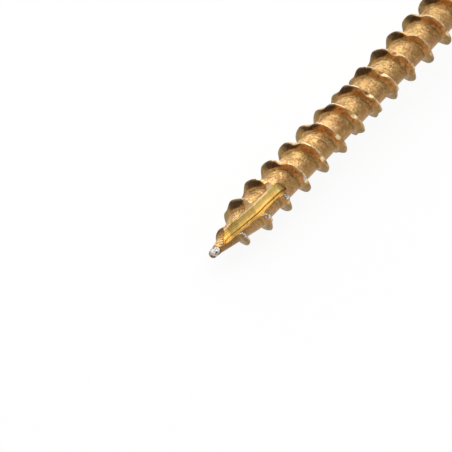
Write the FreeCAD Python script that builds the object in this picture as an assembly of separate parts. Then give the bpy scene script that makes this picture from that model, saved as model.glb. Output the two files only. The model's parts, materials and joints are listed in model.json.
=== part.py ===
import FreeCAD, Part
import math
import os

os.makedirs("parts", exist_ok=True)

# A yellow-plated chipboard screw, one piece of steel: a countersunk head with a
# cross recess, a coarse thread with a notched crest, and a flute cut in the tip.
# It is modelled along its own axis, tip at the origin and head at the far end, and
# is then laid down as it comes to rest, on the rim of its head and on its thread.
# All lengths are in millimetres and all angles in degrees.

# Shank
overall_length = 50.0
core_diameter = 3.2
tip_radius = 0.40
nose_length = 1.10
tip_rounding = 0.2
nose_diameter = 1.0
cone_end = 6.2
neck_diameter = 3.6
neck_taper = 1.0
neck_length = 0.55

# Thread
thread_diameter = 4.96
thread_pitch = 3.0
flank_angle = 22.0
crest_width = 0.117
thread_start_gap = 0.21
thread_start_turn = -1.4
thread_full_turn = 0.45
thread_start_diameter = 1.2
thread_run_out_turns = 0.7
thread_end_gap = 0.5

# Notches rolled into the crest
notch_depth = 0.39
notch_spacing_turn = 0.2418
notch_half_width_turn = 0.0845
notch_phase_turn = 0.207
notch_start_turn = -0.6
notch_full_turn = 0.1
stations_per_turn = 32
least_rise = 0.03

# Flute cut in the tip, with a flat floor and a radial cutting wall
flute_depth = 0.85
flute_start = 1.0
flute_run_in = 1.3
flute_end = 10.4
flute_run_out = 0.5
flute_direction = 117.5

# Head
head_diameter = 10.0
head_rim = 0.35
head_cone_angle = 90.0

# Cross recess
recess_span = 4.9
recess_floor_span = 2.2
recess_slot_width = 1.15
recess_floor_width = 0.95
recess_centre_diameter = 2.5
recess_floor_diameter = 1.9
recess_depth = 2.6
recess_point_depth = 0.4

# Lie of the screw on the surface: its turn about its own axis
roll_angle = 108.72

overshoot = 0.5
AXIS = FreeCAD.Vector(0, 0, 1)
ORIGIN = FreeCAD.Vector(0, 0, 0)

core_radius = core_diameter / 2
thread_radius = thread_diameter / 2
neck_radius = neck_diameter / 2
head_radius = head_diameter / 2
flank_slope = math.tan(math.radians(flank_angle))
cone_height = (head_radius - neck_radius) / math.tan(math.radians(head_cone_angle / 2))
head_start = overall_length - head_rim - cone_height
neck_start = head_start - neck_length - neck_taper
thread_start = nose_length + thread_start_gap
thread_turns = math.floor((neck_start - thread_end_gap - thread_start) / thread_pitch)


def core_profile_radius(z):
    """Radius of the core at a height z above the tip: nose, cone, then straight."""
    if z < nose_length:
        return tip_radius + (nose_diameter / 2 - tip_radius) * z / nose_length
    if z < cone_end:
        share = (z - nose_length) / (cone_end - nose_length)
        return nose_diameter / 2 + (core_radius - nose_diameter / 2) * share
    return core_radius


def point_at(turn, radius, height):
    """A point at this radius and height, at the angle of this turn of the helix."""
    angle = 2 * math.pi * turn
    return FreeCAD.Vector(radius * math.cos(angle), radius * math.sin(angle), height)


def envelope_radius(turn):
    """Radius of the unnotched crest: it grows from the tip and fades out at the neck."""
    start_radius = thread_start_diameter / 2
    if turn < thread_full_turn:
        share = (turn - thread_start_turn) / (thread_full_turn - thread_start_turn)
        return start_radius + (thread_radius - start_radius) * math.sin(math.pi / 2 * share)
    run_out_start = thread_start_turn + thread_turns - thread_run_out_turns
    if turn > run_out_start:
        share = (turn - run_out_start) / thread_run_out_turns
        return thread_radius + (core_radius - thread_radius) * share
    return thread_radius


def notch_drop(turn):
    """Depth of the crest below its envelope: a rounded notch at each spacing, deeper from the tip."""
    growth = (turn - notch_start_turn) / (notch_full_turn - notch_start_turn)
    depth = notch_depth * min(max(growth, 0.0), 1.0)
    offset = (turn - notch_phase_turn) / notch_spacing_turn
    away = abs(offset - round(offset)) * notch_spacing_turn
    if away > notch_half_width_turn:
        return 0.0
    return depth * math.cos(math.pi / 2 * away / notch_half_width_turn) ** 2


def crest_height(turn):
    """Height of the crest above the tip at this turn of the helix."""
    return thread_start + thread_pitch * (turn - thread_start_turn)


def crest_radius(turn):
    """Radius of the crest, notches and all, never less than a little over the core."""
    base = core_profile_radius(crest_height(turn))
    return max(envelope_radius(turn) - notch_drop(turn), base + least_rise)


def ridge_section(turn):
    """Four corners of the ridge in the half-plane of this turn: root, crest, crest, root."""
    height = crest_height(turn)
    base = core_profile_radius(height)
    crest = crest_radius(turn)
    crest_half = crest_width / 2 + max(envelope_radius(turn) - crest, 0) * flank_slope
    lower_half = upper_half = crest_half + (crest - base) * flank_slope
    for repeat in range(3):
        lower_half = crest_half + (crest - core_profile_radius(height - lower_half)) * flank_slope
        upper_half = crest_half + (crest - core_profile_radius(height + upper_half)) * flank_slope
    lower_root = core_profile_radius(height - lower_half)
    upper_root = core_profile_radius(height + upper_half)
    return [
        point_at(turn, lower_root, height - lower_half),
        point_at(turn, crest, height - crest_half),
        point_at(turn, crest, height + crest_half),
        point_at(turn, upper_root, height + upper_half),
    ]


def ring(radius, height):
    """A level circle about the axis as a row of points, one at each station of a turn."""
    return [
        point_at(thread_start_turn + i / stations_per_turn, radius, height)
        for i in range(stations_per_turn + 1)
    ]


def strip(lower, upper):
    """Ruled faces between two rows of points, one for each step of the rows."""
    faces = []
    for i in range(len(lower) - 1):
        lower_edge = Part.makeLine(lower[i], lower[i + 1])
        upper_edge = Part.makeLine(upper[i], upper[i + 1])
        faces.append(Part.makeRuledSurface(lower_edge, upper_edge, 1))
    return faces


def make_thread():
    """The ridge from the nose to the neck, with the strip of core between its turns."""
    turn_steps = stations_per_turn
    steps = thread_turns * turn_steps
    sections = [ridge_section(thread_start_turn + i / turn_steps) for i in range(steps + 1)]
    lower_root, lower_crest, upper_crest, upper_root = zip(*sections)
    faces = strip(ring(nose_diameter / 2, nose_length), lower_root[:turn_steps + 1])
    faces += strip(lower_root, lower_crest)
    faces += strip(lower_crest, upper_crest)
    faces += strip(upper_crest, upper_root)
    faces += strip(upper_root[:-turn_steps], lower_root[turn_steps:])
    faces += strip(upper_root[-turn_steps - 1:], ring(core_radius, neck_start))
    for section in (sections[0], sections[-1]):
        faces.append(Part.Face(Part.makePolygon(section + section[:1])))
    return faces


def make_nose():
    """The blunt tip: its flat end, its rounding and the start of the cone."""
    end = ring(tip_radius - tip_rounding, 0)
    shoulder = ring(tip_radius, tip_rounding)
    cone_ring = ring(nose_diameter / 2, nose_length)
    return [Part.Face(Part.makePolygon(end))] + strip(end, shoulder) + strip(shoulder, cone_ring)


def make_neck():
    """The taper from the many-sided core to the round neck."""
    core_ring = ring(core_radius, neck_start)
    faces = []
    for i in range(stations_per_turn):
        arc_points = [
            point_at(thread_start_turn + (i + share) / stations_per_turn, neck_radius, neck_start + neck_taper)
            for share in (0, 0.5, 1)
        ]
        core_edge = Part.makeLine(core_ring[i], core_ring[i + 1])
        faces.append(Part.makeRuledSurface(core_edge, Part.Arc(*arc_points).toShape(), 1))
    return faces


def make_head():
    """The neck's round part and the countersunk head, turned in two halves."""
    profile = Part.makePolygon([
        point_at(thread_start_turn, neck_radius, neck_start + neck_taper),
        point_at(thread_start_turn, neck_radius, head_start),
        point_at(thread_start_turn, head_radius, overall_length - head_rim),
        point_at(thread_start_turn, head_radius, overall_length),
        FreeCAD.Vector(0, 0, overall_length),
    ])
    other = profile.copy()
    other.rotate(ORIGIN, AXIS, 180)
    return profile.revolve(ORIGIN, AXIS, 180).Faces + other.revolve(ORIGIN, AXIS, 180).Faces


def make_blank():
    """The screw before its flute and recess are cut: all its faces sewn into one solid."""
    skin = Part.Shell(make_nose() + make_thread() + make_neck() + make_head())
    skin.sewShape(0.001)
    return Part.makeSolid(skin)


def flute_section(height, reach):
    """One V of the flute cutter: its bottom, the end of its floor and the end of its wall."""
    direction = math.radians(flute_direction)
    wall = FreeCAD.Vector(math.cos(direction), math.sin(direction), 0)
    floor = FreeCAD.Vector(math.sin(direction), -math.cos(direction), 0)
    bottom = wall * reach + FreeCAD.Vector(0, 0, height)
    side = 2 * thread_diameter
    return Part.makePolygon([bottom, bottom + floor * side, bottom + wall * side, bottom])


def make_flute():
    """The cutter of the tip flute: a V carried along the cone and then along the core."""
    full_start = flute_start + flute_run_in
    full_end = flute_end - flute_run_out
    start_reach = core_profile_radius(flute_start)
    full_start_reach = core_profile_radius(full_start) - flute_depth
    entry_slope = (start_reach - full_start_reach) / flute_run_in
    exit_slope = flute_depth / flute_run_out
    stations = [
        (flute_start - thread_radius / entry_slope, start_reach + thread_radius),
        (full_start, full_start_reach),
        (cone_end, core_radius - flute_depth),
        (full_end, core_radius - flute_depth),
        (flute_end + thread_radius / exit_slope, core_radius + thread_radius),
    ]
    sections = [flute_section(height, reach) for height, reach in stations]
    return Part.makeLoft(sections, True, True)


def recess_wing(turned):
    """One slot of the cross recess, narrower and shorter at its floor than at the top."""
    levels = [
        (overall_length + overshoot, 1 + overshoot / recess_depth),
        (overall_length - recess_depth, 0),
    ]
    outlines = []
    for height, share in levels:
        span = recess_floor_span + (recess_span - recess_floor_span) * share
        width = recess_floor_width + (recess_slot_width - recess_floor_width) * share
        outlines.append(Part.makePolygon([
            FreeCAD.Vector(x * span / 2, y * width / 2, height)
            for x, y in ((-1, -1), (1, -1), (1, 1), (-1, 1), (-1, -1))
        ]))
    wing = Part.makeLoft(outlines, True, True)
    wing.rotate(ORIGIN, AXIS, turned)
    return wing


def make_recess():
    """The cutter of the cross recess: two crossed slots round a tapered, pointed centre."""
    floor = overall_length - recess_depth
    slope = (recess_centre_diameter - recess_floor_diameter) / 2 / recess_depth
    centre = Part.makeCone(
        recess_floor_diameter / 2,
        recess_centre_diameter / 2 + slope * overshoot,
        recess_depth + overshoot,
        FreeCAD.Vector(0, 0, floor),
    )
    point = Part.makeCone(
        0,
        recess_floor_diameter / 2,
        recess_point_depth,
        FreeCAD.Vector(0, 0, floor - recess_point_depth),
    )
    return recess_wing(0).fuse([recess_wing(90), centre, point])


def resting_tilt():
    """Slope of the axis when the head's rim and the thread both touch a level surface."""
    down = math.radians(-roll_angle)
    rim_height = overall_length - head_rim
    samples = 4 * stations_per_turn
    slopes = []
    for i in range(thread_turns * samples):
        turn = thread_start_turn + i / samples
        reach = crest_radius(turn) * math.cos(2 * math.pi * turn - down)
        slopes.append((head_radius - reach) / (rim_height - crest_height(turn) + crest_width / 2))
    return math.degrees(math.atan(min(slopes)))


def lay_down(screw):
    """Turn the screw about its axis and lay it along X, over the middle of the box it fills."""
    tilt = resting_tilt()
    rise = math.sin(math.radians(tilt))
    run = math.cos(math.radians(tilt))
    lowest = (overall_length - head_rim) * rise - head_radius * run
    head_end = overall_length * run + head_radius * rise
    tip_end = -(tip_radius - tip_rounding) * rise
    laid = screw.copy()
    laid.rotate(ORIGIN, AXIS, roll_angle)
    laid.rotate(ORIGIN, FreeCAD.Vector(0, 1, 0), 90 - tilt)
    laid.translate(FreeCAD.Vector(-(head_end + tip_end) / 2, 0, -lowest))
    return laid


screw = make_blank().cut(make_flute()).cut(make_recess())
lay_down(screw).exportStep("parts/chipboard_screw.step")
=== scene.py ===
import json
import math

import bpy
import numpy as np
from mathutils import Matrix, Vector


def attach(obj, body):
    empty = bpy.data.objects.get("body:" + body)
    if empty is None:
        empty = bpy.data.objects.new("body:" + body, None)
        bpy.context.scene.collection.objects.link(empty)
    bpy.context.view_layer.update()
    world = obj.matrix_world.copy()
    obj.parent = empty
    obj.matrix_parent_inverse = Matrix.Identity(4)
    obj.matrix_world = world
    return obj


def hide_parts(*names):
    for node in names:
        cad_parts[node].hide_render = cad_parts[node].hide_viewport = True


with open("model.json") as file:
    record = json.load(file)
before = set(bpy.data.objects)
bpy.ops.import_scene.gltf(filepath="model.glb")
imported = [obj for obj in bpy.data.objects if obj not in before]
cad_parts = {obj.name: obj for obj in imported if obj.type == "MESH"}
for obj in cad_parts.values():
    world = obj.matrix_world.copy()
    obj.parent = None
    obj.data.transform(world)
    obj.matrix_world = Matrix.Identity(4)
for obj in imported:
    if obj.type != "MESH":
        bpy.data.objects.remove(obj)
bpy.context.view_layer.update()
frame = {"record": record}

# A yellow-plated chipboard screw lying on a pale floor. Lengths named _MM are in millimetres.
# Heights, z, run along the screw's own axis from its tip, and turns count round the thread.

# Shank
OVERALL_MM = 50.0
CORE_R_MM = 1.6
TIP_R_MM = 0.40
TIP_ROUND_MM = 0.34
NOSE_MM = 1.10
NOSE_R_MM = 0.50
CONE_END_MM = 6.2
NECK_R_MM = 1.8
NECK_START_MM = 44.9
NECK_FULL_MM = NECK_START_MM + 1.0

# Thread
THREAD_R_MM = 2.48
PITCH_MM = 3.0
FLANK_SLOPE = math.tan(math.radians(22.0))
CREST_MM = 0.117
FIRST_CREST_MM = 5.51
THREAD_START_TURN = -1.4
THREAD_FULL_TURN = 0.45
THREAD_START_R_MM = 0.50
THREAD_END_TURN = 12.6
THREAD_RUN_OUT_TURNS = 0.7
RIDGE_TURNS = (-3.0, THREAD_END_TURN + 1)
ROOT_FILLET_MM = 0.10
ROOT_FILLET_CORE_SHARE = 0.2
CREST_ROUND_MM = 0.030

# Notches in the crest
NOTCH_MM = 0.39
NOTCH_SPACING = 0.2418
NOTCH_HALF = 0.0845
NOTCH_PHASE = 0.207
NOTCH_START_TURN = -0.6
NOTCH_FULL_TURN = 0.1

# Flute
FLUTE_DIRECTION = math.radians(121.0)
FLUTE_HEIGHTS_MM = (1.3, 2.3, 3.1, 4.3, 6.5, 8.6, 10.0, 10.7)
FLUTE_REACHES_MM = (0.95, 0.12, 0.15, 0.49, 0.90, 1.00, 1.22, 1.80)
REACH_PAST_FLUTE_MM = 3.0
FLUTE_WALL_OFFSET_MM = 0.08
FLUTE_LAST_TURN = 2
FLUTE_EDGE_MM = 0.02
FLUTE_LEAST_R_MM = 0.05
FLUTE_LEAST_COSINE = 1e-3
FLUTE_CUT_COSINE = 0.01
FLUTE_MARK_END_MM = FLUTE_HEIGHTS_MM[-1] + 0.5

# Head and recess
HEAD_R_MM = 5.0
HEAD_RIM_MM = 0.35
HEAD_CONE = math.radians(45.0)
HEAD_BEVEL_MM = 0.05
HEAD_BEVEL_ROUND = 0.3
RIM_START_MM = OVERALL_MM - HEAD_RIM_MM
CONE_START_MM = RIM_START_MM - (HEAD_R_MM - NECK_R_MM) / math.tan(HEAD_CONE)
RECESS_HALF_MM = 2.45
RECESS_FLOOR_HALF_MM = 1.1
RECESS_SLOT_HALF_MM = 0.575
RECESS_FLOOR_SLOT_HALF_MM = 0.475
RECESS_CENTRE_R_MM = 1.25
RECESS_FLOOR_CENTRE_R_MM = 0.95
RECESS_MM = 2.6
RECESS_POINT_MM = 0.4

# Wear and grain along the screw, and where the painted slot shade and painted glints lie
WORN_TIP_MM = (0.20, 1.60)
WORN_FLUTE_MM = (2.0, 3.0)
CHIPS_MM = (2.5, 13.0)
CREVICES_MM = (22.5, 31.0)
CREVICE_SHIFT_SPACINGS = 0.02
LATE_GLINTS_MM = (20.0, 23.0)
LATE_GLINT_SHIFT_TURNS = 0.028
GRAIN_ALONG = 0.06
STREAKS_ALONG = 0.006

# Plating colours, and colours for painted shade, highlights and reflections
GOLD = (0.76, 0.50, 0.20)
BROWN = (0.34, 0.19, 0.07)
OLIVE = (0.40, 0.33, 0.10)
PINK = (0.74, 0.36, 0.22)
# Painted shade on the flanks towards the tip, with RED_BROWN as a painted red reflection on their near
# side and in the roots
OLIVE_BROWN = (0.27, 0.18, 0.05)
RED_BROWN = (0.70, 0.28, 0.07)
FLANK_OLIVE = (0.36, 0.24, 0.06)
FLANK_DARK = (0.20, 0.085, 0.03)
# Painted shade: TIP_BROWN on the low side near the tip, EARLY_BROWN on the first ridge's flank, LOW_OLIVE
# and LOW_PINK on the low side
TIP_BROWN = (0.28, 0.155, 0.06)
EARLY_BROWN = (0.22, 0.12, 0.05)
LOW_OLIVE = (0.40, 0.27, 0.075)
LOW_PINK = (0.60, 0.30, 0.15)
# Painted shade on the top side of the flanks towards the tip
TOP_SHADE_DARK = (0.085, 0.042, 0.016)
# Pale core patches, and pale crests that are partly wear and partly a painted highlight
PALE = (0.90, 0.72, 0.45)
# A painted glint on the notch floors
PAINTED_GLINT = (1.0, 0.78, 0.44)
STEEL = (0.74, 0.71, 0.66)
DULL_STEEL = (0.46, 0.42, 0.36)
WORN_EDGE = (0.07, 0.045, 0.03)
# Dark pits, and painted shade in the notch slots
PIT_AND_SLOT_SHADE = (0.13, 0.065, 0.025)
FOOT = (0.30, 0.25, 0.08)
# The flute: a wall painted bright as a painted highlight, real streaks, and floor bands of painted
# reflection with a painted-shade corner
FLUTE_WALL = (1.0, 0.70, 0.34)
FLUTE_STREAK = (0.62, 0.36, 0.12)
FLUTE_BANDS = [
    (0.0, (0.20, 0.11, 0.03)),
    (0.06, (1.00, 0.74, 0.26)),
    (0.20, (1.00, 0.93, 0.42)),
    (0.32, (1.00, 0.80, 0.28)),
    (0.40, (0.58, 0.48, 0.12)),
    (0.60, (0.66, 0.50, 0.14)),
    (0.70, (1.00, 0.74, 0.42)),
    (0.86, (0.90, 0.62, 0.30)),
    (1.0, (0.60, 0.40, 0.20)),
]

# Lie and view
ROLL = math.radians(108.72)
LEVEL_VIEW_ROLL = math.radians(119.56)
IMAGE_PX = 452
IMAGE_TURN = math.radians(46.047)
RECEDE = math.radians(31.805)
TIP_PX = (213.48, 253.41)
TIP_POINT_MM = 0.443
SCALE_PX_PER_MM = 10.6315
CAMERA_MM = 362.31
SENSOR_MM = 36.0
CLIP_START = 0.01

# Floor and light, in metres, with lamp directions along the view's right, up and back
FLOOR_HALF = 0.6
FLOOR_COLOUR = (0.9, 0.9, 0.9, 1)
FLOOR_ROUGHNESS = 0.9
FLOOR_WHITE = 0.92
LAMP_DISTANCE = 0.5
KEY_DIRECTION = (0.0, 0.98, 0.15)
KEY_SIZE = 0.85
KEY_WATTS = 4.8
FILL_DIRECTION = (1.0, 0.1, 0.3)
FILL_SIZE = 0.30
FILL_WATTS = 0.3
WORLD_STRENGTH = 0.35

# Mesh density
FIRST_TURN = -2
LAST_TURN = 13
COLUMNS_PER_TURN = 180
WALL_SPAN = (0.290, 0.350)
WALL_COLUMNS = 41
ROWS_BETWEEN_LINES = (4, 3, 5, 2)
LINE_GAP_MM = 0.02
TIP_ROWS = 15
NECK_ROWS = (5, 5, 3, 12)
TOP_ROWS = 9
RECESS_ROWS = 9
POINT_ROWS = 6
MERGE_MM = 1e-4
SHARP_ANGLE = math.radians(38.0)

# Units, and the least values that count as more than nothing
MM = 0.001
TINY_MM = 1e-4
TINY_TURN = 1e-6
TINY_COSINE = 1e-6

axis = Vector(next(m["axis"] for m in frame["record"]["mounts"] if m["name"] == "thread")) * -1
head_centre = Vector(next(m["pos_m"] for m in frame["record"]["mounts"] if m["name"] == "drive_recess"))
tip = head_centre - axis * OVERALL_MM * MM


def softer_low(a, b, k):
    """The lower of a and b, with the corner between them rounded over a width of about k.

    The two are blended by a share h of their difference over k, less k times h times 1 - h.
    """
    h = np.clip(0.5 + 0.5 * (b - a) / k, 0, 1)
    return b + (a - b) * h - k * h * (1 - h)


def softer_high(a, b, k):
    """The higher of a and b, with the corner between them rounded over a width of about k."""
    return -softer_low(-a, -b, k)


def smooth_step(x, low, high):
    """0 below low, 1 above high and a smooth cubic between them."""
    share = np.clip((x - low) / (high - low), 0, 1)
    return share * share * (3 - 2 * share)


def smooth_fall(x, low, high):
    """1 below low, 0 above high and a smooth cubic between them."""
    return smooth_step(-x, -high, -low)


def between(z, heights):
    """True where z lies between the two heights."""
    return (z > heights[0]) & (z < heights[1])


def core_radius(z):
    """Core radius at z: a rounded nose, then straight lines through nose, cone end, neck and head."""
    stations = [0, NOSE_MM, CONE_END_MM, NECK_START_MM, NECK_FULL_MM, CONE_START_MM, RIM_START_MM]
    radii = [TIP_R_MM, NOSE_R_MM, CORE_R_MM, CORE_R_MM, NECK_R_MM, NECK_R_MM, HEAD_R_MM]
    straight = np.interp(z, stations, radii)
    inside = np.clip(1 - z / TIP_ROUND_MM, 0, 1)
    return straight * np.sqrt(np.clip(1 - inside ** 2, 0, 1))


def crest_z(turn):
    """Height of the crest on the helix: the pitch times the turn, from the first crest."""
    return FIRST_CREST_MM + PITCH_MM * turn


def envelope(turn):
    """Radius of the crest without notches: a rising sine at the tip, level, then a straight fade."""
    share = np.clip((turn - THREAD_START_TURN) / (THREAD_FULL_TURN - THREAD_START_TURN), 0, 1)
    radius = THREAD_START_R_MM + (THREAD_R_MM - THREAD_START_R_MM) * np.sin(np.pi / 2 * share)
    fade = np.clip((turn - THREAD_END_TURN + THREAD_RUN_OUT_TURNS) / THREAD_RUN_OUT_TURNS, 0, 1)
    return radius + (CORE_R_MM - THREAD_R_MM) * fade


def notch_share(turn):
    """1 at the middle of each notch and 0 between them: a squared cosine hump at each spacing."""
    offset = (turn - NOTCH_PHASE) / NOTCH_SPACING
    away = np.abs(offset - np.round(offset)) * NOTCH_SPACING
    return np.cos(np.pi / 2 * np.clip(away / NOTCH_HALF, 0, 1)) ** 2


def notch(turn):
    """Depth of the notches: their share times a depth that grows from the tip to its full size."""
    growth = np.clip((turn - NOTCH_START_TURN) / (NOTCH_FULL_TURN - NOTCH_START_TURN), 0, 1)
    return NOTCH_MM * growth * notch_share(turn)


def ridge_place(turn, z):
    """The turn of the nearest ridge at this angle, and the height above its crest line."""
    ridge_turn = turn + np.round((z - crest_z(turn)) / PITCH_MM)
    ridge_turn = np.clip(ridge_turn, *RIDGE_TURNS)
    return ridge_turn, z - crest_z(ridge_turn)


def blank_radius(turn, z):
    """Radius before the flute is cut: the core or the ridge, the higher, with a soft root."""
    ridge_turn, offset = ridge_place(turn, z)
    apex = envelope(ridge_turn)
    flank = apex - np.maximum(np.abs(offset) - CREST_MM / 2, 0) / FLANK_SLOPE
    crest = apex - notch(ridge_turn)
    inside = (ridge_turn > THREAD_START_TURN) & (ridge_turn < THREAD_END_TURN)
    ridge = np.where(inside, softer_low(flank, crest, CREST_ROUND_MM), 0)
    core = core_radius(z)
    fillet = np.minimum(ROOT_FILLET_MM, core * ROOT_FILLET_CORE_SHARE + TINY_MM)
    return softer_high(core, ridge, fillet)


def flute_reach(z):
    """Distance of the flute's floor from the axis: straight lines between its stated heights."""
    return np.interp(
        z, FLUTE_HEIGHTS_MM, FLUTE_REACHES_MM, left=REACH_PAST_FLUTE_MM, right=REACH_PAST_FLUTE_MM)


def flute_place(turn, radius, z):
    """Height above the flute's floor, and distance from its wall along that floor."""
    angle = 2 * np.pi * turn - FLUTE_DIRECTION
    return radius * np.cos(angle) - flute_reach(z), -radius * np.sin(angle) - FLUTE_WALL_OFFSET_MM


def screw_radius(turn, z):
    """Radius at an angle and a height: the blank less the flute's flat floor and its wall.

    The floor lies at its reach over the cosine, and the wall at its offset over the sine.
    """
    radius = blank_radius(turn, z)
    angle = 2 * np.pi * turn - FLUTE_DIRECTION
    floor = flute_reach(z) / np.maximum(np.cos(angle), FLUTE_LEAST_COSINE)
    wall = FLUTE_WALL_OFFSET_MM / np.maximum(-np.sin(angle), FLUTE_LEAST_COSINE)
    quarter = (np.cos(angle) > FLUTE_CUT_COSINE) & (np.sin(angle) < -FLUTE_CUT_COSINE)
    cut = np.maximum(softer_high(floor, wall, FLUTE_EDGE_MM), FLUTE_LEAST_R_MM)
    return np.where(quarter, softer_low(radius, cut, FLUTE_EDGE_MM), radius)


def surface_marks(turn, radius, z):
    """Marks that steer the plating's colours and painted light: lengths in mm, sides from -1 to 1, shares
    from 0 to 1.

    A share is a product of smooth steps in the rise over the core, the offset from the crest line,
    the height over the crest's own radius, the side of the screw and the height from the tip.
    """
    blank = blank_radius(turn, z)
    ridge_turn, offset = ridge_place(turn, z)
    over_crest = blank - (envelope(ridge_turn) - notch(ridge_turn))
    rise = (blank - core_radius(z)) / (THREAD_R_MM - CORE_R_MM)
    on_ridge = smooth_step(rise, 0.05, 0.2)
    on_flank = smooth_step(rise, 0.05, 0.3)
    tip_flank = on_flank * smooth_fall(offset, -0.06, 0.02)
    angle = 2 * np.pi * turn
    near_side = np.sin(angle)
    on_shank = smooth_fall(z, NECK_START_MM, NECK_FULL_MM)
    above, beside = flute_place(turn, radius, z)
    flute = smooth_step(blank - radius, 0.0, 0.02) * (z < FLUTE_MARK_END_MM)
    root_half = CREST_MM / 2 + (envelope(ridge_turn) - core_radius(z)) * FLANK_SLOPE
    foot = -offset - root_half
    # Painted glints on the notch floors; further up the screw they sit a little later along the turn
    late = LATE_GLINT_SHIFT_TURNS * smooth_step(z, *LATE_GLINTS_MM)
    notch_glint = smooth_step(notch_share(ridge_turn - late), 0.72, 1.0) * smooth_step(over_crest, -0.06, -0.03)
    notch_glint = notch_glint * on_ridge * (1 - flute)
    # Painted shade in the slot just beside each notch
    notch_place = (ridge_turn - NOTCH_PHASE) / NOTCH_SPACING
    from_crevice = np.abs(notch_place - np.round(notch_place) + CREVICE_SHIFT_SPACINGS)
    crevice = smooth_fall(from_crevice, 0.05, 0.11) * smooth_step(over_crest, -0.12, -0.05)
    crevice = crevice * smooth_step(offset, -0.06, 0.02)
    chip = smooth_fall(beside, -0.06, 0.0) * smooth_step(beside, -0.60, -0.40)
    chip = chip * smooth_step(rise, 0.35, 0.55) * smooth_step(offset, -0.30, -0.18)
    return {
        "tip_flank": tip_flank,
        # Crests, pale partly from wear and partly as a painted highlight
        "crest": smooth_step(rise, 0.1, 0.3) * smooth_step(over_crest, -0.08, -0.02)
        * smooth_fall(notch(ridge_turn), 0.02, 0.2) * (1 - flute),
        # Thread roots, given a painted red reflection
        "root": smooth_step(rise, -0.02, 0.05) * smooth_fall(rise, 0.05, 0.45),
        # Painted shade on the top side of the flanks towards the tip, more towards the near side
        "top_shade": tip_flank * smooth_step(radius * np.cos(angle), 0.80, 1.65)
        * smooth_step(near_side, -0.40, 0.48),
        "near_side": near_side,
        # The low side, which gets painted shade on the core; the glints fade away from it
        "low_side": -np.cos(angle) * on_shank,
        "beside_ridge": np.abs(offset),
        # Painted glints, on the near side only
        "notch_glint": notch_glint * smooth_step(near_side, 0.3, 0.7),
        # Painted shade in the notch slots, on the near side and over a stretch of the shank
        "crevice": crevice * on_ridge * smooth_step(near_side, 0.85, 0.95) * between(z, CREVICES_MM),
        "flute": flute,
        "floor_mm": np.maximum(beside, 0),
        "wall_mm": np.maximum(above, 0),
        "along_mm": z,
        "foot": smooth_step(foot, -0.02, 0.06) * smooth_fall(foot, 0.10, 0.34) * (1 - on_flank),
        "bare": np.maximum.reduce([
            smooth_fall(z, *WORN_TIP_MM) * smooth_step(near_side, -0.6, 0.4),
            flute * smooth_step(above, 0.70, 0.90) * smooth_step(z, *WORN_FLUTE_MM),
            chip * (np.cos(angle - FLUTE_DIRECTION) > 0) * between(z, CHIPS_MM),
        ]),
    }


def to_world(turn, radius, z):
    """Points from turn, radius and height on the screw to metres in the frame, laid and rolled."""
    angle = 2 * np.pi * turn + ROLL
    along = np.array(axis)
    side = np.array([0.0, 1.0, 0.0])
    down = np.array([axis.z, 0.0, -axis.x])
    x = (radius * np.cos(angle))[..., None] * down
    y = (radius * np.sin(angle))[..., None] * side
    return np.array(tip) + MM * (x + y + z[..., None] * along)


def columns_between(first, last):
    """Turns at even steps, set closer across the flute's wall in each turn that it cuts."""
    even = first + np.arange((last - first) * COLUMNS_PER_TURN + 1) / COLUMNS_PER_TURN
    share = np.linspace(*WALL_SPAN, WALL_COLUMNS)
    cut_turns = np.arange(first, min(last, FLUTE_LAST_TURN))
    close = (cut_turns[:, None] + share[None, :]).ravel()
    both = np.sort(np.concatenate([even, close]))
    return both[np.diff(both, prepend=-np.inf) > TINY_TURN]


def thread_grid():
    """The shank: columns along the helix, and rows across one pitch on the ridge's own lines.

    The lines run from half a pitch in past the root to the crest's edge, and the heights are cut off
    level at the first and the last turn.
    """
    turn = columns_between(FIRST_TURN, LAST_TURN)
    crest_half = CREST_MM / 2 + notch(turn) * FLANK_SLOPE
    height = np.maximum(envelope(turn) - core_radius(crest_z(turn)), 0)
    root_half = CREST_MM / 2 + height * FLANK_SLOPE
    lines = [
        np.full_like(turn, PITCH_MM / 2),
        root_half + ROOT_FILLET_MM,
        root_half - LINE_GAP_MM,
        crest_half + LINE_GAP_MM,
        crest_half - LINE_GAP_MM,
    ]
    half = []
    for start, end, count in zip(lines, lines[1:], ROWS_BETWEEN_LINES):
        share = np.arange(count) / count
        half.append(start[:, None] + (end - start)[:, None] * share)
    lower = np.concatenate(half + [lines[-1][:, None]], 1)
    rows = np.concatenate([-lower, np.zeros((len(turn), 1)), lower[:, ::-1]], 1)
    low = crest_z(FIRST_TURN + 1) - PITCH_MM / 2
    high = crest_z(LAST_TURN - 1) + PITCH_MM / 2
    z = np.clip(crest_z(turn)[:, None] + rows, low, high)
    turns = np.repeat(turn[:, None], z.shape[1], 1)
    return turns, z, low, high


def tip_patch(around, high):
    """The tip up to the thread's grid: rows by a squared sine, so that they are close at both ends."""
    rows = high * np.sin(np.linspace(0, np.pi / 2, TIP_ROWS)) ** 2
    turns = np.repeat(around[:, None], len(rows), 1)
    z = np.repeat(rows[None, :], len(around), 0)
    return turns, screw_radius(turns, z), z


def recess_radius(turn, share):
    """Outline of the cross recess: two crossed slots or the round centre, whichever is further."""
    half = RECESS_FLOOR_HALF_MM + (RECESS_HALF_MM - RECESS_FLOOR_HALF_MM) * share
    slot = RECESS_FLOOR_SLOT_HALF_MM + (RECESS_SLOT_HALF_MM - RECESS_FLOOR_SLOT_HALF_MM) * share
    centre = RECESS_FLOOR_CENTRE_R_MM + (RECESS_CENTRE_R_MM - RECESS_FLOOR_CENTRE_R_MM) * share
    angle = 2 * np.pi * turn
    across = np.maximum(np.abs(np.cos(angle)), TINY_COSINE)
    beside = np.maximum(np.abs(np.sin(angle)), TINY_COSINE)
    first = np.minimum(half / across, slot / beside)
    second = np.minimum(half / beside, slot / across)
    return np.maximum(np.maximum(first, second), centre)


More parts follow.
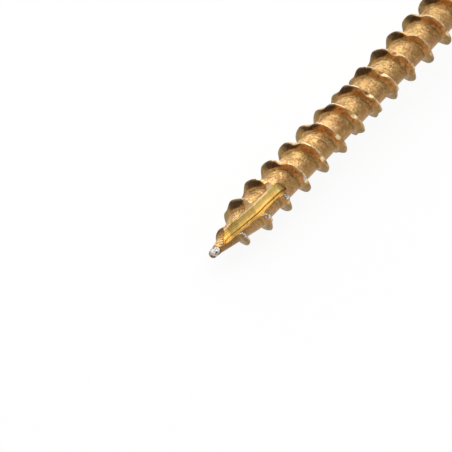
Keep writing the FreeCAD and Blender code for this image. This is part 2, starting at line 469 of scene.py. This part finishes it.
def head_patch(around, start):
    """Neck, cone, rim and top as one profile, then the recess wall and floor down to its point.

    The top runs straight from the rim to the recess's mouth, and the recess narrows evenly.
    """
    stops = (start, NECK_START_MM, NECK_FULL_MM, CONE_START_MM, RIM_START_MM)
    runs = [np.linspace(a, b, rows)[:-1] for a, b, rows in zip(stops, stops[1:], NECK_ROWS)]
    neck = np.concatenate(runs + [[RIM_START_MM]])
    radius = [np.repeat(r, len(around)) for r in core_radius(neck)]
    height = list(neck)
    top_r = HEAD_R_MM - HEAD_BEVEL_MM
    inset = HEAD_BEVEL_MM * HEAD_BEVEL_ROUND
    edges = [
        (HEAD_R_MM, OVERALL_MM - HEAD_BEVEL_MM),
        (HEAD_R_MM - inset, OVERALL_MM - inset),
        (top_r, OVERALL_MM),
    ]
    for r, z in edges:
        radius.append(np.repeat(r, len(around)))
        height.append(z)
    mouth = recess_radius(around, 1.0)
    for share in np.linspace(0, 1, TOP_ROWS)[1:]:
        radius.append(top_r + (mouth - top_r) * share)
        height.append(OVERALL_MM)
    for share in np.linspace(1, 0, RECESS_ROWS)[1:]:
        radius.append(recess_radius(around, share))
        height.append(OVERALL_MM - RECESS_MM * (1 - share))
    floor = recess_radius(around, 0.0)
    for share in np.linspace(1, 0, POINT_ROWS)[1:]:
        radius.append(floor * share)
        height.append(OVERALL_MM - RECESS_MM - RECESS_POINT_MM * (1 - share))
    radius = np.stack(radius, 1)
    z = np.repeat(np.array(height)[None, :], len(around), 0)
    turns = np.repeat(around[:, None], z.shape[1], 1)
    return turns, radius, z


def screw_patches():
    """All patches of the screw as arrays of turn, radius and height: thread, tip and head."""
    turns, z, low, high = thread_grid()
    return [
        (turns, screw_radius(turns, z), z),
        tip_patch(columns_between(FIRST_TURN, FIRST_TURN + 1), low),
        head_patch(columns_between(LAST_TURN - 1, LAST_TURN), high),
    ]


def grid_faces(columns, rows, offset):
    """Quads of a grid whose vertices run row by row within each column."""
    i, j = np.meshgrid(np.arange(columns - 1), np.arange(rows - 1), indexing="ij")
    a = offset + i * rows + j
    return np.stack([a, a + rows, a + rows + 1, a + 1], -1).reshape(-1, 4)


def build_screw():
    """Vertices, quads and marks of all the patches, with vertices merged where patches meet."""
    points = []
    faces = []
    marks = []
    offset = 0
    for turns, radius, z in screw_patches():
        columns, rows = turns.shape
        points.append(to_world(turns, radius, z).reshape(-1, 3))
        faces.append(grid_faces(columns, rows, offset))
        marks.append(surface_marks(turns, radius, z))
        offset += columns * rows
    points = np.concatenate(points)
    faces = np.concatenate(faces)
    keys = np.round(points / (MM * MERGE_MM)).astype(np.int64)
    first, same = np.unique(keys, axis=0, return_index=True, return_inverse=True)[1:]
    joined = {name: np.concatenate([m[name].ravel() for m in marks])[first] for name in marks[0]}
    return points[first], same.reshape(-1)[faces], joined


def split_quads(faces):
    """Quads as triangles, less those that merged to a line or a point."""
    a, b, c, d = faces.T
    triangles = np.concatenate([np.stack([a, b, c], 1), np.stack([a, c, d], 1)])
    good = (triangles[:, 0] != triangles[:, 1]) & (triangles[:, 1] != triangles[:, 2])
    good &= triangles[:, 2] != triangles[:, 0]
    return triangles[good]


class Shading:
    """Short calls that add shader nodes to one material and return their outputs."""

    def __init__(self, name):
        self.material = bpy.data.materials.new(name)
        self.material.use_nodes = True
        self.tree = self.material.node_tree
        self.shader = self.tree.nodes["Principled BSDF"]
        self.object_point = self.tree.nodes.new("ShaderNodeTexCoord").outputs["Object"]

    def put(self, socket, value):
        """A constant or a link on an input socket."""
        if isinstance(value, bpy.types.NodeSocket):
            self.tree.links.new(value, socket)
        else:
            socket.default_value = value

    def mark(self, name):
        """One of the mesh's own marks."""
        node = self.tree.nodes.new("ShaderNodeAttribute")
        node.attribute_name = name
        return node.outputs["Fac"]

    def math(self, kind, a, b):
        """One arithmetic step on two values."""
        node = self.tree.nodes.new("ShaderNodeMath")
        node.operation = kind
        self.put(node.inputs[0], a)
        self.put(node.inputs[1], b)
        return node.outputs[0]

    def span(self, value, low, high, start=0.0, end=1.0):
        """A value mapped smoothly from low..high to start..end."""
        node = self.tree.nodes.new("ShaderNodeMapRange")
        node.interpolation_type = "SMOOTHSTEP"
        for socket, number in zip(node.inputs, (value, low, high, start, end)):
            self.put(socket, number)
        return node.outputs[0]

    def noise(self, size_mm, detail=3.0, place_mm=None):
        """Noise whose features are about size_mm across, at the object's point or a given place."""
        node = self.tree.nodes.new("ShaderNodeTexNoise")
        self.put(node.inputs["Vector"], place_mm or self.object_point)
        self.put(node.inputs["Scale"], 1 / size_mm if place_mm else 1 / (size_mm * MM))
        self.put(node.inputs["Detail"], detail)
        return node.outputs["Fac"]

    def vector(self, x, y, z):
        """Three values joined to a vector."""
        node = self.tree.nodes.new("ShaderNodeCombineXYZ")
        for socket, value in zip(node.inputs, (x, y, z)):
            self.put(socket, value)
        return node.outputs[0]

    def mix(self, share, a, b):
        """Colour a turning into colour b by a share."""
        node = self.tree.nodes.new("ShaderNodeMix")
        node.data_type = "RGBA"
        self.put(node.inputs["Factor"], share)
        for socket, colour in ((node.inputs[6], a), (node.inputs[7], b)):
            self.put(socket, colour if isinstance(colour, bpy.types.NodeSocket) else (*colour, 1))
        return node.outputs[2]

    def mottle(self, colour, patch, size_mm, low, high, most=1.0):
        """A colour with patches of another about size_mm across, where noise runs from low to high."""
        return self.mix(self.span(self.noise(size_mm), low, high, 0, most), colour, patch)

    def ramp(self, value, stops):
        """A row of colours, each at its own value between 0 and 1."""
        node = self.tree.nodes.new("ShaderNodeValToRGB")
        row = node.color_ramp.elements
        for place, _ in stops[2:]:
            row.new(place)
        for element, (place, colour) in zip(row, sorted(stops)):
            element.position = place
            element.color = (*colour, 1)
        self.put(node.inputs["Fac"], value)
        return node.outputs["Color"]

    def bump(self, height, depth_mm, below=None):
        """A bump of this depth for a height between 0 and 1, over the bump below it."""
        node = self.tree.nodes.new("ShaderNodeBump")
        self.put(node.inputs["Distance"], depth_mm * MM)
        self.put(node.inputs["Height"], height)
        if below:
            self.put(node.inputs["Normal"], below)
        return node.outputs[0]


def core_colour(s, rolling):
    """The core: mottled gold, brown, olive and pink, and painted shade on the low side, most near the tip.
    """
    colour = s.mottle(GOLD, BROWN, 1.2, 0.45, 0.66, 0.9)
    colour = s.mottle(colour, OLIVE, 0.7, 0.53, 0.66, 0.7)
    colour = s.mottle(colour, PINK, 0.45, 0.54, 0.66, 0.6)
    colour = s.mix(s.span(rolling, 0.50, 0.62, 0, 0.5), colour, BROWN)
    colour = s.mottle(colour, PALE, 0.28, 0.56, 0.68, 0.5)
    # Painted shade on the low side, in mottled brown, olive and pink
    low = s.mottle(BROWN, LOW_OLIVE, 0.6, 0.46, 0.62, 0.8)
    low = s.mottle(low, LOW_PINK, 0.4, 0.54, 0.68)
    colour = s.mix(s.span(s.mark("low_side"), 0.10, 0.6, 0, 0.85), colour, low)
    # More painted shade on the low side near the tip
    near_tip = s.span(s.mark("along_mm"), 2.5, 5.0, 0.9, 0)
    tip_side = s.math("MULTIPLY", s.span(s.mark("low_side"), -0.3, 0.3), near_tip)
    return s.mix(tip_side, colour, TIP_BROWN)


def flank_colour(s):
    """The flanks towards the tip in painted shade: olive brown, painted red on the near side, in dark
    patches.
    """
    flank = s.mix(s.span(s.mark("near_side"), 0.3, 0.9), OLIVE_BROWN, RED_BROWN)
    flank = s.mottle(flank, FLANK_OLIVE, 0.5, 0.50, 0.66, 0.8)
    return s.mottle(flank, FLANK_DARK, 0.35, 0.52, 0.66, 0.6)


def ridge_colour(s, colour):
    """The ridge over the core's colour: painted shade on flanks and slots, painted red roots, pale crests,
    glints.
    """
    tip_flank = s.mark("tip_flank")
    # Painted shade on the flanks towards the tip
    colour = s.mix(s.math("MULTIPLY", tip_flank, 0.8), colour, flank_colour(s))
    # A painted red reflection in the thread's roots
    colour = s.mix(s.math("MULTIPLY", s.mark("root"), 0.5), colour, RED_BROWN)
    colour = s.mix(s.math("MULTIPLY", s.mark("foot"), 0.6), colour, FOOT)
    # Painted shade on the first ridge's flank, near the tip
    early = s.math("MULTIPLY", tip_flank, s.span(s.mark("along_mm"), 3.2, 4.2, 0.8, 0))
    colour = s.mix(early, colour, EARLY_BROWN)
    # Painted shade on the top side of the flanks towards the tip, varied by noise
    top_shade = s.math("MULTIPLY", s.mark("top_shade"), s.span(s.noise(0.3), 0.3, 0.7, 0.85, 1.15))
    colour = s.mix(s.span(top_shade, 0.1, 0.9), colour, TOP_SHADE_DARK)
    # Pale crests: partly wear, partly a painted highlight that is stronger on the near side
    crest = s.math("MULTIPLY", s.mark("crest"), s.span(s.mark("near_side"), 0.1, 0.8, 0.2, 0.8))
    crest = s.math("MULTIPLY", crest, s.span(s.noise(0.5), 0.40, 0.58, 0.35, 1.0))
    colour = s.mix(crest, colour, PALE)
    # Painted glints on the notch floors, fainter towards the top
    notch_glint = s.math("MULTIPLY", s.mark("notch_glint"), s.span(s.mark("low_side"), -0.7, 0.3, 0.2, 1.0))
    colour = s.mix(notch_glint, colour, PAINTED_GLINT)
    # Painted shade in the notch slots
    return s.mix(s.math("MULTIPLY", s.mark("crevice"), 0.85), colour, PIT_AND_SLOT_SHADE)


def flute_colour(s):
    """Bands of painted reflection along the flute: dark corner, yellow, olive and a pale outer edge,
    finely streaked.
    """
    along = s.math("MULTIPLY", s.mark("along_mm"), STREAKS_ALONG)
    streaks = s.noise(0.08, 2.0, s.vector(s.mark("floor_mm"), s.mark("wall_mm"), along))
    ragged = s.span(s.mark("floor_mm"), 0.04, 0.15, 0, 0.6)
    shift = s.math("MULTIPLY", s.math("SUBTRACT", streaks, 0.5), ragged)
    narrowing = s.span(s.mark("along_mm"), 8.4, 10.0, 0.7, 0.5)
    across = s.math("MULTIPLY", s.mark("floor_mm"), narrowing)
    # Bands of painted reflection across the floor, with painted shade in the corner by the wall
    floor = s.ramp(s.math("ADD", across, shift), FLUTE_BANDS)
    floor = s.mix(s.span(streaks, 0.40, 0.54, 0.75, 0), floor, FLUTE_STREAK)
    # The wall painted bright as a painted highlight, with streaks
    wall = s.mix(s.span(streaks, 0.45, 0.70), FLUTE_WALL, FLUTE_STREAK)
    return s.mix(s.span(s.mark("wall_mm"), 0.02, 0.06), floor, wall)


def worn_colour(s, colour):
    """Bare steel with a dark edge where the plating is worn through."""
    worn = s.math("MULTIPLY", s.mark("bare"), s.span(s.noise(0.35), 0.3, 0.7, 0.3, 1.6))
    colour = s.mix(s.span(worn, 0.30, 0.44), colour, WORN_EDGE)
    steel = s.mottle(STEEL, DULL_STEEL, 0.20, 0.45, 0.60)
    return s.mix(s.span(worn, 0.52, 0.62), colour, steel)


def surface_bumps(s, rolling):
    """Fine grain, rolled lines and soft dents over each other, rougher towards the head."""
    on_core = s.math("SUBTRACT", 1.0, s.mark("flute"))
    rough_end = s.span(s.mark("along_mm"), 17.0, 27.0, 0.72, 1.1)
    rough = s.math("MULTIPLY", rough_end, s.span(s.mark("flute"), 0.0, 1.0, 1.0, 0.25))
    bumps = s.bump(s.math("MULTIPLY", s.noise(0.16), rough), 0.10)
    bumps = s.bump(s.math("MULTIPLY", rolling, s.math("MULTIPLY", on_core, rough_end)), 0.18, bumps)
    return s.bump(s.math("MULTIPLY", s.noise(0.45), rough), 0.15, bumps)


def zinc_material():
    """Yellow zinc plating with painted light and shade: the core, then the ridge, pits and flute over it,
    and the worn steel.
    """
    s = Shading("yellow_zinc")
    along = s.math("MULTIPLY", s.mark("along_mm"), GRAIN_ALONG)
    rolling = s.noise(0.22, 4.0, s.vector(s.mark("beside_ridge"), along, s.mark("near_side")))
    colour = ridge_colour(s, core_colour(s, rolling))
    colour = s.mottle(colour, PIT_AND_SLOT_SHADE, 0.20, 0.62, 0.70, 0.7)
    colour = s.mix(s.mark("flute"), colour, flute_colour(s))
    s.put(s.shader.inputs["Base Color"], worn_colour(s, colour))
    s.put(s.shader.inputs["Metallic"], 1.0)
    s.put(s.shader.inputs["Roughness"], s.span(s.noise(0.3), 0.3, 0.7, 0.30, 0.45))
    s.put(s.shader.inputs["Normal"], surface_bumps(s, rolling))
    return s.material


def add_object(name, data):
    """A new object with this data, in the scene."""
    added = bpy.data.objects.new(name, data)
    bpy.context.scene.collection.objects.link(added)
    return added


def make_screw():
    """The screw as one closed mesh, smooth but for its sharp edges, with its marks and plating."""
    points, faces, marks = build_screw()
    mesh = bpy.data.meshes.new("screw")
    mesh.from_pydata(points.tolist(), [], split_quads(faces).tolist())
    mesh.polygons.foreach_set("use_smooth", np.ones(len(mesh.polygons), bool))
    for name, values in marks.items():
        mesh.attributes.new(name, "FLOAT", "POINT").data.foreach_set("value", values.astype(np.float32))
    mesh.set_sharp_from_angle(angle=SHARP_ANGLE)
    mesh.update()
    mesh.materials.append(zinc_material())
    return add_object("screw", mesh)


def floor_material():
    """Matt white, lifted towards plain white where the camera or a reflection sees it."""
    s = Shading("floor_white")
    s.put(s.shader.inputs["Base Color"], FLOOR_COLOUR)
    s.put(s.shader.inputs["Roughness"], FLOOR_ROUGHNESS)
    s.put(s.shader.inputs["Specular IOR Level"], 0.0)
    path = s.tree.nodes.new("ShaderNodeLightPath")
    seen = s.math("MAXIMUM", path.outputs["Is Camera Ray"], path.outputs["Is Glossy Ray"])
    seen = s.math("MAXIMUM", seen, path.outputs["Is Transmission Ray"])
    white = s.tree.nodes.new("ShaderNodeEmission")
    white.inputs["Strength"].default_value = 1.0
    lifted = s.tree.nodes.new("ShaderNodeMixShader")
    s.put(lifted.inputs[0], s.math("MULTIPLY", seen, FLOOR_WHITE))
    s.put(lifted.inputs[1], s.shader.outputs[0])
    s.put(lifted.inputs[2], white.outputs[0])
    s.put(s.tree.nodes["Material Output"].inputs["Surface"], lifted.outputs[0])
    return s.material


def make_floor():
    """A plain pale floor, one flat square."""
    half = FLOOR_HALF
    mesh = bpy.data.meshes.new("floor")
    corners = [(-half, -half, 0), (half, -half, 0), (half, half, 0), (-half, half, 0)]
    mesh.from_pydata(corners, [], [(0, 1, 2, 3)])
    mesh.materials.append(floor_material())
    add_object("floor", mesh)


def view_axes():
    """Camera right, up and back, so that the screw's axis turns and recedes as in the photograph."""
    along = math.cos(RECEDE)
    across = along * math.cos(IMAGE_TURN)
    upward = along * math.sin(IMAGE_TURN)
    away = math.sin(RECEDE)
    reach = math.hypot(upward, away)
    lift = math.acos(axis.z / reach) - math.atan2(away, upward)
    forward = upward * math.sin(lift) + away * math.cos(lift)
    bearing = math.atan2(across, forward) + math.pi
    right = Vector((-math.sin(bearing), math.cos(bearing), 0))
    back = Vector((math.cos(lift) * math.cos(bearing), math.cos(lift) * math.sin(bearing), math.sin(lift)))
    turn = Matrix.Rotation(ROLL - LEVEL_VIEW_ROLL, 3, axis)
    return turn @ right, turn @ back.cross(right), turn @ back


def make_camera():
    """A long lens at the photograph's distance, placed by where the tip falls in the picture."""
    right, up, back = view_axes()
    focus = tip + axis * TIP_POINT_MM * MM
    across = (TIP_PX[0] - IMAGE_PX / 2) / SCALE_PX_PER_MM * MM
    down = (TIP_PX[1] - IMAGE_PX / 2) / SCALE_PX_PER_MM * MM
    place = focus - right * across + up * down + back * CAMERA_MM * MM
    data = bpy.data.cameras.new("camera")
    data.sensor_width = SENSOR_MM
    data.lens = SCALE_PX_PER_MM * CAMERA_MM / IMAGE_PX * SENSOR_MM
    data.clip_start = CLIP_START
    camera = add_object("camera", data)
    camera.matrix_world = Matrix.Translation(place) @ Matrix((right, up, back)).transposed().to_4x4()
    bpy.context.scene.camera = camera


def make_lamp(name, direction, size, watts):
    """A square area lamp in a direction along the view's axes, which looks at the origin."""
    right, up, back = view_axes()
    towards = right * direction[0] + up * direction[1] + back * direction[2]
    place = towards.normalized() * LAMP_DISTANCE
    data = bpy.data.lights.new(name, "AREA")
    data.size = size
    data.energy = watts
    lamp = add_object(name, data)
    lamp.location = place
    lamp.rotation_euler = (-place).to_track_quat("-Z", "Y").to_euler()


def make_light():
    """Soft studio light: a large key lamp, a weaker fill and a pale world."""
    make_lamp("key", KEY_DIRECTION, KEY_SIZE, KEY_WATTS)
    make_lamp("fill", FILL_DIRECTION, FILL_SIZE, FILL_WATTS)
    world = bpy.data.worlds.new("world")
    world.use_nodes = True
    world.node_tree.nodes["Background"].inputs["Color"].default_value = (1, 1, 1, 1)
    world.node_tree.nodes["Background"].inputs["Strength"].default_value = WORLD_STRENGTH
    bpy.context.scene.world = world


screw = make_screw()
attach(screw, "root")
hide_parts("chipboard_screw")
make_floor()
make_camera()
make_light()
bpy.context.scene.view_settings.view_transform = "Standard"
